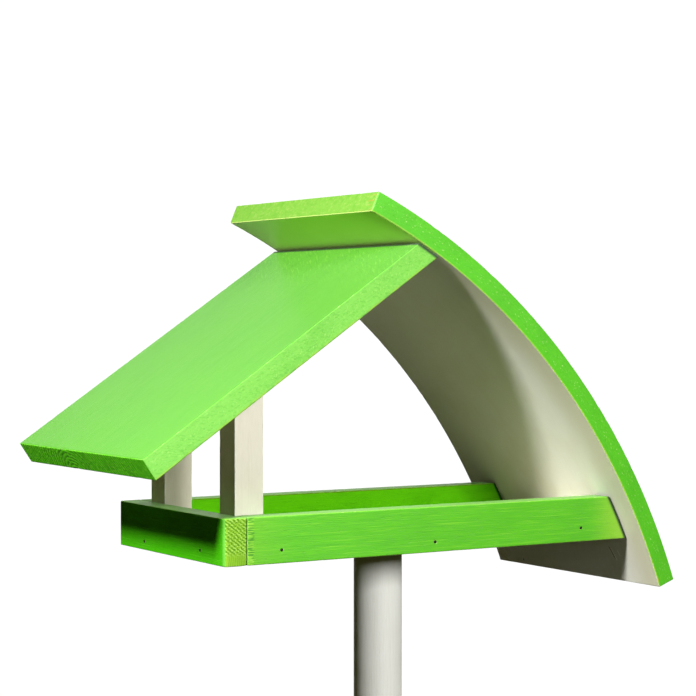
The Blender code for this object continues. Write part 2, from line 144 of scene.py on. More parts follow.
def slab(size, step, corner=None):
    """A divided box with eased edges: 0 to length along X, centred on Y and Z.

    corner is the reach and the facets of the cut along the two edges at -Z, across the ends."""
    mesh = bmesh.new()
    bmesh.ops.create_cube(mesh, size=1.0)
    bmesh.ops.scale(mesh, vec=size, verts=mesh.verts)
    bmesh.ops.translate(mesh, vec=(size[0] / 2, 0.0, 0.0), verts=mesh.verts)
    if corner:
        ends = [e for e in mesh.edges
                if all(v.co.z < 0.0 for v in e.verts) and e.verts[0].co.y * e.verts[1].co.y < 0.0]
        bmesh.ops.bevel(mesh, geom=ends, offset=corner[0], segments=corner[1], affect="EDGES",
                        profile=0.5)
    sharp = [e for e in mesh.edges if e.calc_face_angle() > math.radians(30)]
    bmesh.ops.bevel(mesh, geom=sharp, offset=EASING, segments=EASING_SEGMENTS, affect="EDGES",
                    profile=0.5)
    margin = EASING + SUPPORT
    low = Vector((0.0, -size[1] / 2, -size[2] / 2))
    for axis in range(3):
        normal = Vector([float(i == axis) for i in range(3)])
        for place in (low[axis] + margin, low[axis] + size[axis] - margin):
            cut_plane(mesh, normal * place, normal)
    for axis in range(3):
        straight = [e for e in mesh.edges if runs_along(e, axis) and e.calc_length() > 1.5 * step[axis]]
        if straight:
            longest = max(e.calc_length() for e in straight)
            bmesh.ops.subdivide_edges(mesh, edges=straight, cuts=spread(longest, step[axis]),
                                      use_grid_fill=True)
    return mesh


def runs_along(edge, axis):
    """Whether an edge is parallel to one of the box's axes."""
    way = edge.verts[1].co - edge.verts[0].co
    return abs(way[axis]) > 0.999 * way.length


def cut_plane(mesh, point, normal):
    """A row of edges where a plane passes through the mesh."""
    everything = mesh.verts[:] + mesh.edges[:] + mesh.faces[:]
    bmesh.ops.bisect_plane(mesh, geom=everything, dist=1e-7, plane_co=point, plane_no=normal)


def edge_nearness(depths):
    """1 on an eased edge and 0 beyond its first row of faces, from points' depths below faces."""
    second = np.sort(depths, axis=1)[:, 1]
    return np.clip(1.0 - second / (EASING + SUPPORT), 0.0, 1.0)


def roughen(points, normals, nearness, seed):
    """Press the surface in a little, unevenly, and more where an edge is dented."""
    along_rate, cross_rate, dent_rate = 14, 60, 160
    shift = np.zeros(len(points))
    offset = Vector((seed * 3.7, seed * 1.3, seed * 2.1))
    for i, ((u, v, t), near) in enumerate(zip(points, nearness)):
        wave = noise.noise(Vector((u * along_rate, v * cross_rate, t * cross_rate)) + offset)
        shift[i] = RELIEF * (0.5 + 0.5 * wave)
        if near > 0.3:
            dent = noise.noise(Vector((u * dent_rate, v * dent_rate, t * dent_rate)) + offset)
            shift[i] += CHIP * near * max(0.0, dent - 0.22) / 0.5
    return points - normals * shift[:, None]


def new_object(name, made, materials=()):
    """An object in the scene from a bmesh, which is freed."""
    mesh = bpy.data.meshes.new(name)
    made.to_mesh(mesh)
    made.free()
    for material in materials:
        mesh.materials.append(material)
    item = bpy.data.objects.new(name, mesh)
    bpy.context.scene.collection.objects.link(item)
    return item


def solid_of(node, slot):
    """A closed copy of a node's solid, its faces all in one material slot."""
    made = bmesh.new()
    made.from_mesh(frame["nodes"][node].data)
    bmesh.ops.remove_doubles(made, verts=made.verts, dist=1e-6)
    for face in made.faces:
        face.material_index = slot
        face.smooth = False
    return new_object(node + "_solid", made)


def bake(item):
    """Replace a piece's mesh by what its modifiers make of it."""
    bpy.context.view_layer.update()
    old = item.data
    item.data = bpy.data.meshes.new_from_object(
        item.evaluated_get(bpy.context.evaluated_depsgraph_get()))
    item.modifiers.clear()
    bpy.data.meshes.remove(old)


def shade(item):
    """Smooth shading that stays flat on flat faces and breaks at sharp edges."""
    item.data.shade_smooth()
    item.data.set_sharp_from_angle(angle=math.radians(40))
    even = item.modifiers.new("even", "WEIGHTED_NORMAL")
    even.keep_sharp = True
    even.weight = 80
    bake(item)


def carve(item, operation, tool, crossed=False):
    """Shape a piece by a closed tool, which is removed. crossed says that its parts overlap."""
    step = item.modifiers.new("carve", "BOOLEAN")
    step.operation = operation
    step.solver = "EXACT"
    step.material_mode = "INDEX"
    step.use_self = crossed
    step.object = tool
    bake(item)
    bpy.data.objects.remove(tool, do_unlink=True)


def keep_inside(item, node, slot):
    """Cut a piece by its node's solid, for its holes and notches. Their walls get the slot."""
    solid = solid_of(node, slot)
    for _ in item.data.materials:
        solid.data.materials.append(None)
    carve(item, "INTERSECT", solid)


def write_attribute(mesh, name, values, kind="FLOAT"):
    """Store one value or vector for each vertex."""
    field = "value" if kind == "FLOAT" else "vector"
    layer = mesh.attributes.new(name, kind, "POINT")
    layer.data.foreach_set(field, np.asarray(values, np.float32).ravel())


def vertex_array(mesh):
    """The mesh's vertices as an array."""
    points = np.zeros(len(mesh.vertices) * 3)
    mesh.vertices.foreach_get("co", points)
    return points.reshape(-1, 3)


class Straight:
    """Where a straight board lies: its start, and the ways along and across its grain."""

    def __init__(self, origin, along, across, end=None):
        self.origin = np.array(origin, float)
        self.axes = np.array([along, across, np.cross(along, across)], float)
        self.end = end

    def place(self, points, length):
        """From grain coordinates to the frame's, with the far end cut to its shape."""
        moved = points.copy()
        if self.end is not None:
            reach = np.array([self.end(v, t) for _, v, t in points])
            moved[:, 0] = points[:, 0] / length * reach
        return self.origin + moved @ self.axes

    def grain(self, points):
        """From the frame's coordinates back to the grain's."""
        return (points - self.origin) @ self.axes.T


class Bent:
    """Where the curved panel lies: its grain runs up along the arc."""

    middle = ARC_RADIUS + PANEL_THICK / 2

    def place(self, points, length):
        """From grain coordinates to the frame's."""
        angle = PANEL_BOTTOM + INSET / self.middle + points[:, 0] / self.middle
        radius = self.middle + points[:, 2]
        return np.stack([ARC_X + radius * np.cos(angle), points[:, 1],
                         ARC_Z + radius * np.sin(angle)], axis=1)

    def grain(self, points):
        """From the frame's coordinates back to the grain's."""
        x, z = points[:, 0] - ARC_X, points[:, 2] - ARC_Z
        angle = np.arctan2(z, x) - PANEL_BOTTOM
        return np.stack([angle * self.middle, points[:, 1],
                         np.hypot(x, z) - self.middle], axis=1)


def board(node, layout, size, step, materials, seed, corner=None):
    """A board in place of a node. materials are for its material slots, from FACE on."""
    made = slab(size, step, corner)
    for face in made.faces:
        ways = [abs(x) for x in face.normal]
        face.material_index = (END, EDGE, FACE)[ways.index(max(ways))]
        face.smooth = True
    item = new_object(node + "_wood", made, materials)
    mesh = item.data
    points = vertex_array(mesh)
    normals = np.array([v.normal for v in mesh.vertices])
    start = np.array((0.0, -size[1] / 2, -size[2] / 2))
    nearness = edge_nearness(np.minimum(points - start, start + np.array(size) - points))
    shaped = layout.place(roughen(points, normals, nearness, seed), size[0])
    mesh.vertices.foreach_set("co", shaped.ravel())
    write_attribute(mesh, "nearness", nearness)
    keep_inside(item, node, WALL)
    finish_wood(item, layout.grain, size[0], seed)
    return declare(item, node)


def finish_wood(item, grain, length, seed):
    """Grain coordinates and shading of a finished wooden piece."""
    mesh = item.data
    local = grain(vertex_array(mesh))
    from_end = np.minimum(local[:, 0], length - local[:, 0])
    write_attribute(mesh, "local", local, "FLOAT_VECTOR")
    write_attribute(mesh, "grain", local + np.array((1.7, 0.9, 0.4)) * seed, "FLOAT_VECTOR")
    write_attribute(mesh, "end_near", np.clip(1.0 - from_end / END_ZONE, 0.0, 1.0))
    rim = np.zeros(len(mesh.vertices))
    for face in mesh.polygons:
        if face.material_index == WALL:
            rim[list(face.vertices)] = 1.0
    write_attribute(mesh, "rim", rim)
    shade(item)


def repaint(item, slot, chosen):
    """Give the chosen ones of a board's broad faces another material slot."""
    for face in item.data.polygons:
        if face.material_index == FACE and chosen(face):
            face.material_index = slot


def note_seam(item, gap):
    """Mark the vertices within SEAM of the open joint against the curved panel, where painted shade
    darkens the paint.
    """
    points = vertex_array(item.data)
    away = ARC_RADIUS - gap - np.hypot(points[:, 0] - ARC_X, points[:, 2] - ARC_Z)
    write_attribute(item.data, "seam", np.clip(1.0 - away / SEAM, 0.0, 1.0))


def declare(item, node):
    """Hide the node that a made piece stands in for, and attach the piece to the body."""
    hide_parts(node)
    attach(item, BODY)
    return item


# ---------------- materials


class Finish:
    """A Principled material and short calls to add nodes to it."""

    def __init__(self, name, metallic=0.0, gloss=0.5, sheen=0.0):
        self.material = bpy.data.materials.new(name)
        self.material.use_nodes = True
        self.tree = self.material.node_tree
        self.shader = self.tree.nodes["Principled BSDF"]
        for key, value in (("Metallic", metallic), ("Specular IOR Level", gloss),
                           ("Sheen Weight", sheen), ("Sheen Roughness", 0.5)):
            self.shader.inputs[key].default_value = value

    def fill(self, socket, value):
        """Join another node's output to an input, or set it to a number, vector or colour."""
        if isinstance(value, bpy.types.NodeSocket):
            self.tree.links.new(value, socket)
        elif socket.type == "RGBA":
            socket.default_value = (*value, 1.0)
        else:
            socket.default_value = value

    def add(self, kind, inputs, out=0, **settings):
        """A new node's output, with its settings and its inputs."""
        node = self.tree.nodes.new("ShaderNode" + kind)
        for key, value in settings.items():
            setattr(node, key, value)
        for key, value in inputs.items():
            self.fill(node.inputs[key], value)
        return node.outputs[out]

    def set(self, key, value):
        """Fill one of the shader's own inputs."""
        self.fill(self.shader.inputs[key], value)

    def read(self, name, out="Fac"):
        """A value or a vector stored on the mesh."""
        return self.add("Attribute", {}, out, attribute_name=name)

    def axes(self, vector):
        """The three parts of a vector."""
        return self.add("SeparateXYZ", {"Vector": vector}).node.outputs

    def local(self):
        """Grain coordinates from the board's start, and their parts along, across and through."""
        vector = self.read("local", "Vector")
        return vector, self.axes(vector)

    def do(self, operation, *values):
        """Arithmetic on numbers and node outputs."""
        return self.add("Math", dict(enumerate(values)), operation=operation)

    def times(self, *values):
        """The product of numbers and node outputs."""
        product = values[0]
        for value in values[1:]:
            product = self.do("MULTIPLY", product, value)
        return product

    def plus(self, *values):
        """The sum of numbers and node outputs."""
        total = values[0]
        for value in values[1:]:
            total = self.do("ADD", total, value)
        return total

    def noise(self, vector, cell, detail=2.0, turn=(0, 0, 0)):
        """Noise whose cells have a size in metres each way, in turned axes."""
        place = self.add("Mapping", {"Vector": vector, "Scale": cell, "Rotation": turn},
                         vector_type="TEXTURE")
        return self.add("TexNoise", {"Vector": place, "Scale": 1.0, "Detail": detail})

    def step(self, value, low, high, most=1.0):
        """0 below low and most above high, smooth between."""
        return self.add("MapRange", {"Value": value, "From Min": low, "From Max": high,
                                     "To Max": most}, interpolation_type="SMOOTHSTEP")

    def band(self, value, low, high, soft, most=1.0):
        """most between low and high, and 0 outside."""
        return self.times(self.step(value, low - soft, low + soft),
                          self.step(value, high + soft, high - soft, most))

    def mix(self, factor, first, second):
        """A blend of two colours."""
        return self.add("Mix", {0: factor, 6: first, 7: second}, 2, data_type="RGBA")

    def over(self, colour, tone, value, low, high, most):
        """A colour with another tone over it where a value steps from low to high."""
        return self.mix(self.step(value, low, high, most), colour, tone)

    def bump(self, height, distance, strength):
        """Fine relief, its height from 0 to 1 over a distance in metres."""
        self.set("Normal", self.add("Bump", {"Height": height, "Distance": distance,
                                             "Strength": strength}))


# sizes of the marks in a paint film: along, across and through the board
LONG_WAVE = (0.11, 0.005, 0.005)
FIBRE = (0.016, 0.0007, 0.0007)
PORE = (0.0055, 0.0004, 0.0004)
LINE = (0.05, 0.0006, 0.0006)
CLOUD = (0.045, 0.03, 0.03)
GRIT = (0.0014, 0.0014, 0.0014)
DASH = (0.003, 0.0009, 0.0009)
FLAKE = (0.004, 0.002, 0.002)
END_WOBBLE = (0.02, 0.011, 0.011)        # the same on a board's end
END_PORE = (0.005, 0.0006, 0.0006)
END_PATCH = (0.03, 0.008, 0.008)
END_SPECK = (0.004, 0.003, 0.0018)
END_FLAKE = (0.002, 0.003, 0.002)
ROW_DRIFT = (0.02, 0.004, 0.004)
ROW_DASH = (0.004, 0.0009, 0.0017)
ROW_SPACING = 0.0024
SLANT = math.radians(38)                 # of the saw marks


def paint(name, colours, streak=0.5, pores=0.3, lines=0.0, sawn=0.0, arris=0.35, chips=0.5,
          relief=0.45, ends=0.0, rough=0.45, gloss=0.5, sheen=0.1, marks=None, cloudy=0.3,
          matt=0.0):
    """Thin paint on wood. It follows the grain, catches on saw marks and chips along the edges.

    colours are a palette. arris lightens the eased edges with the lighter film, as wear and as a
    painted highlight.
    matt dulls the eased edges and darkens them as painted shade, and marks adds a piece's own features."""
    body, deep, light, bare = colours
    look = Finish(name, 0.0, gloss, sheen)
    grain = look.read("grain", "Vector")
    broad = look.noise(grain, LONG_WAVE, 3.0)
    fibre = look.noise(grain, FIBRE, 2.0)
    cloud = look.noise(grain, CLOUD, 2.0)
    pore = look.noise(grain, PORE, 1.0)
    grit = look.noise(grain, GRIT, 2.0)
    tone = look.plus(look.times(broad, 0.35), look.times(fibre, 0.65))
    colour = look.over(body, deep, tone, 0.5, 0.68, streak)
    colour = look.over(colour, light, fibre, 0.4, 0.26, streak)
    colour = look.over(colour, deep, cloud, 0.45, 0.7, cloudy)
    colour = look.over(colour, deep, pore, 0.62, 0.72, pores)
    if lines:
        line = look.noise(grain, LINE, 1.0)
        colour = look.over(colour, deep, line, 0.62, 0.7, lines)
        colour = look.over(colour, light, line, 0.37, 0.3, lines)
    height = look.plus(look.times(fibre, 0.5), look.step(pore, 0.72, 0.6, 0.35))
    if sawn:
        dash = look.noise(grain, DASH, 2.0, (0, SLANT, 0))
        cut = look.noise(grain, DASH, 2.0, (0, -SLANT, 0.4))
        colour = look.over(colour, deep, dash, 0.54, 0.66, sawn)
        colour = look.over(colour, light, cut, 0.58, 0.7, sawn)
        height = look.plus(height, look.times(dash, sawn))
    if ends:
        colour = look.over(colour, light, look.read("end_near"), 0.4, 1.0, ends)
    near = look.read("nearness")
    lighter_edge = look.plus(near, look.times(grit, 0.7), look.times(fibre, 0.3))
    # the lighter film along eased edges: wear, and a painted highlight where arris is large
    colour = look.over(colour, light, lighter_edge, 1.05, 1.3, arris)
    # matt mixes the dark green onto the eased edges: painted shade against their highlight
    if matt:
        colour = look.mix(look.times(near, 1.4 * matt), colour, deep)
    if marks:
        colour = marks(look, colour)
    # painted shade: near-black green in the open joints against the curved panel
    colour = look.over(colour, JOINT_SHADE, look.read("seam"), 0.05, 0.45, 0.96)
    hole = look.times(look.read("rim"), 0.95)
    chip = look.plus(look.do("MAXIMUM", near, hole), look.noise(grain, FLAKE, 3.0))
    chipped = look.step(chip, 1.36, 1.44, chips)
    colour = look.mix(chipped, colour, bare)
    look.set("Base Color", colour)
    height = look.plus(height, look.times(chipped, -0.8))
    look.bump(height, 0.0005, relief)
    look.set("Roughness", look.plus(look.times(tone, 0.25), look.times(chipped, 0.2),
                                    look.times(near, matt), rough - 0.12))
    return look.material


def end_grain(name, colours, centre, spacing, rings=0.7, wave=0.3, mottle=0.5, rows=0.0,
              gloss=0.15, sheen=0.0, marks=None, specks=0.0, arris=0.6):
    """The painted end of a board: growth rings about a centre (across, through), open pores,
    and slanted rows of saw marks."""
    body, deep, light, bare = colours
    look = Finish(name, 0.0, gloss, sheen)
    grain = look.read("grain", "Vector")
    split = look.local()[1]
    across = look.do("SUBTRACT", split["Y"], centre[0])
    through = look.do("SUBTRACT", split["Z"], centre[1])
    far = look.do("SQRT", look.plus(look.times(across, across), look.times(through, through)))
    wobble = look.noise(grain, END_WOBBLE, 2.0)
    turns = look.plus(look.do("DIVIDE", far, spacing), look.times(wobble, 1.2))
    ring = look.do("SINE", look.times(turns, 2 * math.pi))
    pore = look.noise(grain, END_PORE, 2.0)
    patch = look.noise(grain, END_PATCH, 2.0)
    mark = look.plus(look.times(ring, wave), pore)
    colour = look.over(body, deep, mark, 0.45, 0.78, rings)
    colour = look.over(colour, deep, patch, 0.48, 0.72, mottle)
    colour = look.over(colour, light, pore, 0.6, 0.7, 0.4)
    height = look.plus(look.times(mark, -0.5), look.times(pore, 0.3))
    if specks:
        speck = look.noise(grain, END_SPECK, 2.0)
        colour = look.over(colour, light, speck, 0.56, 0.66, specks)
        colour = look.over(colour, deep, speck, 0.42, 0.34, specks)
    if rows:
        drift = look.times(look.noise(grain, ROW_DRIFT, 1.0), 0.0016)
        slanted = look.plus(look.times(split["Y"], 0.78), look.times(split["Z"], 0.62), drift)
        band = look.do("SINE", look.times(slanted, 2 * math.pi / ROW_SPACING))
        dashes = look.noise(grain, ROW_DASH, 1.0)
        level = look.plus(look.times(band, 0.16), dashes)
        upper = look.step(split["Y"], -0.012, -0.006)
        cut = look.times(look.step(level, 0.56, 0.66, rows), upper)
        colour = look.mix(look.times(look.step(level, 0.4, 0.3, rows), upper), colour, light)
        colour = look.mix(cut, colour, deep)
        height = look.plus(height, look.times(cut, -0.8))
    near = look.read("nearness")
    grit = look.noise(grain, GRIT, 2.0)
    lighter_edge = look.plus(near, look.times(grit, 0.9))
    colour = look.over(colour, light, lighter_edge, 1.0, 1.35, arris)
    if marks:
        colour = marks(look, colour)
    chip = look.plus(near, look.noise(grain, END_FLAKE, 3.0))
    chipped = look.step(chip, 1.34, 1.44, arris)
    colour = look.mix(chipped, colour, bare)
    look.set("Base Color", colour)
    look.bump(height, 0.0006, 0.5)
    look.set("Roughness", look.plus(look.times(patch, 0.2), 0.48))
    return look.material


# marks of single pieces; their places are in the piece's own grain coordinates
PLY = 0.0042                             # thickness of a veneer
PLY_RIM = (-0.0066, -0.0078)             # where a panel edge's inner rim starts and is full
BOARD_RIM = (-0.0068, -0.0086)           # the same of the roof board's lower rim
JOINT_ZONE = (0.235, 0.33)               # the roof board's scratched stretch
COMB_REACH = (0.0066, 0.0044)            # the side board's comb, from where it is gone to full
SCRATCH_ANGLE = math.radians(58)
STAPLE_SLANT = -0.3
STAPLE_WIDTH = 0.0011


def ply_bits(look, colour):
    """Bare veneer in short lines near one corner of the panel's upper end."""
    local, split = look.local()
    line = look.do("SINE", look.times(split["Z"], 2 * math.pi / PLY))
    corner = look.step(split["Y"], -0.085, -0.112)
    torn = look.noise(local, (0.01, 0.006, 0.0012), 2.0)
    bits = look.step(look.plus(look.times(line, 0.16), torn), 0.6, 0.82, 0.5)
    return look.mix(look.times(bits, corner), colour, VENEER)


def core_specks(look, colour):
    """Filler specks in rows along the middle of a panel's edge, and a thin pale inner line."""
    local, split = look.local()
    speck = look.noise(local, (0.002, 0.0012, 0.0008), 2.0)
    middle = look.band(split["Z"], -0.004, 0.0045, 0.0012)
    pale = look.times(look.step(speck, 0.65, 0.73, 0.6), middle)
    dark = look.times(look.step(speck, 0.34, 0.28, 0.8), middle)
    colour = look.mix(pale, colour, FILLER)
    colour = look.mix(dark, colour, GREEN_DARK)
    colour = look.over(colour, RIM_LINE, split["Z"], -0.0068, PLY_RIM[1], 0.6)
    torn = look.noise(local, (0.005, 0.002, 0.0008), 2.0)
    low = look.step(split["X"], 0.03, 0.002, 0.2)
    bits = look.step(look.plus(torn, low), 0.72, 0.8)
    return look.mix(look.times(bits, look.step(split["Z"], *PLY_RIM)), colour, VENEER)


def joint_comb(look, colour):
    """Short level saw marks beside a side board's front end, and thin paint at its far end."""
    local, split = look.local()
    tip = look.step(look.read("end_near"), 0.1, 1.0, 0.8)
    far = look.step(split["X"], 0.1, 0.2, 0.75)
    colour = look.mix(look.times(tip, look.plus(far, 0.25)), colour, GREEN_YELLOW)
    tooth = look.noise(local, (0.008, 0.0006, 0.0006), 0.0)
    fray = look.noise(local, (0.002, 0.0012, 0.0012), 1.0)
    reach = look.plus(split["X"], look.times(look.do("SUBTRACT", fray, 0.5), 0.005))
    zone = look.step(reach, *COMB_REACH)
    dark = look.times(look.step(tooth, 0.51, 0.57, 0.75), zone)
    pale = look.times(look.step(tooth, 0.48, 0.4, 0.6), zone)
    return look.mix(pale, look.mix(dark, colour, COMB_DARK), COMB_PALE)


def joint_scratches(look, colour):
    """Fine slanting scratches across the roof board's upper end."""
    local, split = look.local()
    scratch = look.noise(local, (0.014, 0.0012, 0.01), 1.0, (0, 0, SCRATCH_ANGLE))
    zone = look.band(split["X"], *JOINT_ZONE, 0.03)
    dark = look.times(look.step(scratch, 0.58, 0.68, 0.5), zone)
    pale = look.times(look.step(scratch, 0.4, 0.3, 0.6), zone)
    return look.mix(pale, look.mix(dark, colour, GREEN_DARK), SCRATCH_PALE)


def yellow_arris(look, colour):
    """Thin yellowish paint, in patches, along the roof board's lower edge."""
    local, split = look.local()
    patch = look.step(look.noise(local, (0.012, 0.002, 0.002), 2.0), 0.38, 0.56, 0.7)
    low = look.step(split["Z"], *BOARD_RIM)
    return look.mix(look.times(low, patch), colour, YELLOW_FILM)


def corner_film_and_sheen(look, colour):
    """Paler, milkier paint and a painted sheen round the front board's two outer corners."""
    split = look.local()[1]
    corner = look.step(look.read("end_near"), 0.9, 0.97, 0.75)
    fray_and_sheen = look.times(corner, look.step(split["Z"], -0.004, -0.007))
    return look.mix(fray_and_sheen, colour, MILKY_FILM_AND_SHEEN)


def red_arris(look, colour):
    """A dark line where primer shows along the board's inner top edge."""
    split = look.local()[1]
    return look.over(colour, PRIMER, split["Y"], 0.0166, 0.0174, 0.75)


def staple_marks(look, colour):
    """A staple mark as two painted highlight lines and a painted shadow line, a small dark spot, and a
    greyer near part of the panel's inner face.
    """
    split = look.local()[1]
    slant = look.plus(split["Y"], look.times(split["X"], STAPLE_SLANT))
    # the two pale lines are painted highlights and the dark one is a painted shadow
    for middle, low, high, tone in ((-0.0719, 0.02, 0.0325, WHITE_PALE),
                                    (-0.0706, 0.0215, 0.0325, STAPLE_SHADOW),
                                    (-0.0796, 0.025, 0.0295, WHITE_PALE)):
        line = look.times(look.band(split["X"], low, high, 0.001),
                            look.band(slant, middle, middle + STAPLE_WIDTH, 0.0003))
        colour = look.mix(line, colour, tone)
    spot = look.times(look.band(split["X"], 0.004, 0.006, 0.0006),
                        look.band(split["Y"], 0.073, 0.0742, 0.0004, 0.8))
    colour = look.mix(spot, colour, SPOT)
    return look.over(colour, WHITE_GREY, split["Y"], -0.07, -0.105, 0.7)


def steel(name, colour, rough=0.38, metallic=1.0):
    """Zinc-plated or bare steel with a faint mottle."""
    look = Finish(name, metallic)
    place = look.add("TexCoord", {}, "Object")
    mottle = look.noise(place, (0.0025, 0.0025, 0.0025), 3.0)
    dull = tuple(0.72 * c for c in colour)
    look.set("Base Color", look.over(colour, dull, mottle, 0.35, 0.7, 1.0))
    look.set("Roughness", look.plus(look.times(mottle, 0.3), rough - 0.15))
    look.bump(mottle, 0.0001, 0.3)
    return look.material


GREEN = (0.058, 0.325, 0.004)
GREEN_DARK = (0.03, 0.215, 0.002)
GREEN_PALE = (0.16, 0.44, 0.05)
GREEN_YELLOW = (0.19, 0.37, 0.012)
YELLOW_FILM = (0.24, 0.43, 0.02)
# milky paint and a painted sheen for the front board's corners
MILKY_FILM_AND_SHEEN = (0.11, 0.33, 0.04)
COMB_DARK = (0.02, 0.15, 0.0)
COMB_PALE = (0.24, 0.5, 0.03)
SCRATCH_PALE = (0.22, 0.5, 0.06)
RIM_LINE = (0.3, 0.46, 0.05)
FILLER = (0.44, 0.62, 0.2)
CHIPPED = (0.42, 0.47, 0.2)
WHITE = (0.7, 0.665, 0.545)
WHITE_DARK = (0.56, 0.525, 0.4)
WHITE_PALE = (0.86, 0.85, 0.77)
WHITE_BARE = (0.56, 0.45, 0.29)
WHITE_GREY = (0.46, 0.45, 0.29)
# painted shadow line beside the staple mark
STAPLE_SHADOW = (0.16, 0.15, 0.09)
SPOT = (0.05, 0.04, 0.03)
PRIMER = (0.09, 0.035, 0.01)
VENEER = (0.42, 0.15, 0.03)
# near-black green, painted as the shade inside open joints
JOINT_SHADE = (0.004, 0.024, 0.003)
# near black: painted shade inside drilled holes and on cut walls
BORE_SHADE = (0.02, 0.015, 0.008)
BEECH = (0.62, 0.43, 0.24)

# palettes: the paint, its dark streaks, its lighter film (also the painted highlight along eased
# edges), and what shows where it is chipped
GREENS = (GREEN, GREEN_DARK, GREEN_PALE, CHIPPED)
ROOF_GREENS = ((0.072, 0.325, 0.003), GREEN_DARK, GREEN_PALE, CHIPPED)
SAWN_GREENS = ((0.128, 0.4, 0.036), (0.058, 0.285, 0.006), (0.24, 0.49, 0.09), CHIPPED)
SIDE_GREENS = ((0.066, 0.345, 0.002), (0.042, 0.265, 0.001), (0.15, 0.44, 0.012), CHIPPED)
FAR_GREENS = ((0.078, 0.385, 0.003), GREEN_DARK, (0.11, 0.43, 0.008), CHIPPED)
FRONT_GREENS = ((0.04, 0.325, 0.002), GREEN_DARK, (0.1, 0.44, 0.02), CHIPPED)
# the boards' top and edge faces: a paler green, in part paler paint and in part a painted sheen
EDGE_GREENS = ((0.13, 0.425, 0.016), (0.07, 0.33, 0.004), (0.22, 0.51, 0.045), CHIPPED)
FRONT_END = ((0.15, 0.31, 0.012), (0.04, 0.14, 0.002), (0.28, 0.47, 0.09), (0.62, 0.62, 0.42))
# the roof board's ends: a green much lighter than the paint elsewhere, as painted light
ROOF_END = ((0.08, 0.52, 0.003), (0.018, 0.14, 0.001), (0.2, 0.56, 0.04), CHIPPED)
PLY_EDGE = ((0.058, 0.355, 0.002), (0.04, 0.27, 0.001), (0.14, 0.44, 0.012), CHIPPED)
PLY_END = ((0.145, 0.335, 0.035), (0.06, 0.25, 0.006), (0.36, 0.44, 0.12), CHIPPED)
# pale yellowish green for the overhang's underside: painted bounce light and painted reflection over
# the green paint
PLY_OVER_PAINTED_LIGHT = ((0.68, 0.78, 0.21), (0.6, 0.72, 0.17), (0.66, 0.78, 0.22), CHIPPED)
WHITES = (WHITE, WHITE_DARK, WHITE_PALE, WHITE_BARE)
INSIDE_WHITES = ((0.8, 0.78, 0.52), WHITE, WHITE_PALE, WHITE_BARE)
PLY_WHITES = ((0.625, 0.622, 0.545), WHITE_DARK, WHITE_PALE, WHITE_BARE)
POLE_WHITES = ((0.74, 0.74, 0.69), (0.64, 0.63, 0.56), (0.8, 0.8, 0.76), WHITE_BARE)
BORE_SHADES = (BORE_SHADE, (0.01, 0.007, 0.004), (0.05, 0.035, 0.02), BORE_SHADE)
BEECHES = (BEECH, (0.5, 0.33, 0.17), (0.7, 0.52, 0.32), BEECH)

green = paint("green_paint", GREENS, streak=0.3, ends=0.5, cloudy=0.15)
green_roof = paint("green_paint_roof", ROOF_GREENS, streak=0.1, pores=0.08, cloudy=0.1, arris=0.05,
                   chips=0.25, rough=0.36, sheen=0.15, matt=0.35, marks=joint_scratches)
green_sawn = paint("green_paint_sawn", SAWN_GREENS, streak=0.2, sawn=0.5, arris=0.15, chips=0.4,
                   matt=0.35, marks=yellow_arris)
# arris=0.5 paints a lighter band along the near side board's eased edges, partly wear and partly a
# painted highlight
green_side = paint("green_paint_side", SIDE_GREENS, streak=0.45, pores=0.35, lines=0.6, arris=0.5,
                   sheen=0.06, marks=joint_comb)
green_far = paint("green_paint_far", FAR_GREENS, streak=0.25, ends=0.3, gloss=0.0, sheen=0.0,
                  marks=red_arris)
green_front = paint("green_paint_front", FRONT_GREENS, streak=0.2, lines=0.5, gloss=0.15, sheen=0.0,
                    marks=corner_film_and_sheen)
green_edge = paint("green_paint_edge", EDGE_GREENS, streak=0.3, sawn=0.25, arris=0.5, gloss=0.2,
                   sheen=0.08)
green_end = end_grain("green_end_grain", GREENS, centre=(-0.02, -0.05), spacing=0.0016)
front_end = end_grain("green_front_end", FRONT_END, centre=(-0.02, -0.05), spacing=0.0016,
                      rings=0.25, mottle=0.2, rows=0.8)
roof_end = end_grain("green_roof_end", ROOF_END, centre=(0.024, -0.018), spacing=0.0036,
                     wave=0.4, mottle=0.3, rings=0.75, specks=0.7)
ply_edge = paint("green_ply_edge", PLY_EDGE, streak=0.2, pores=0.15, sawn=0.25, sheen=0.06,
                 marks=core_specks)
ply_end = end_grain("green_ply_end", PLY_END, centre=(0.0, -0.3), spacing=0.004, rings=0.5,
                    wave=0.04, mottle=0.35, gloss=0.4, specks=0.25, arris=0.15, marks=ply_bits)
ply_over_painted_light = paint("green_ply_overhang", PLY_OVER_PAINTED_LIGHT, streak=0.06, pores=0.05, rough=0.5, gloss=0.6,
                 relief=0.1)
# arris=0.9 paints a highlight along the eased edges of the posts, feet and braces, over their wear
white = paint("white_paint", WHITES, streak=0.25, pores=0.15, sheen=0.0, ends=0.2, arris=0.9)
white_inside = paint("white_inside", INSIDE_WHITES, streak=0.2, pores=0.15, sheen=0.0)
white_ply = paint("white_ply", PLY_WHITES, streak=0.12, pores=0.1, sheen=0.0, marks=staple_marks)
white_pole = paint("white_pole", POLE_WHITES, streak=0.35, pores=0.25, lines=0.3, sheen=0.0)
white_end = end_grain("white_end_grain", WHITES, centre=(0.01, -0.04), spacing=0.0021)
bore_shade = paint("bored_wood", BORE_SHADES, rough=0.8, gloss=0.1, sheen=0.0)
zinc = steel("zinc_plate", (0.56, 0.57, 0.58))
# near-black nail heads: painted shade of the nail holes they sit in
nail_steel = steel("nail_steel", (0.014, 0.014, 0.01), rough=0.6, metallic=0.5)
beech = paint("beech", BEECHES, sheen=0.0)

# ---------------- the house


def arc_reach(z, radius):
    """X where a level line meets the panel's circle."""
    return ARC_X + math.sqrt(radius ** 2 - (z - ARC_Z) ** 2)


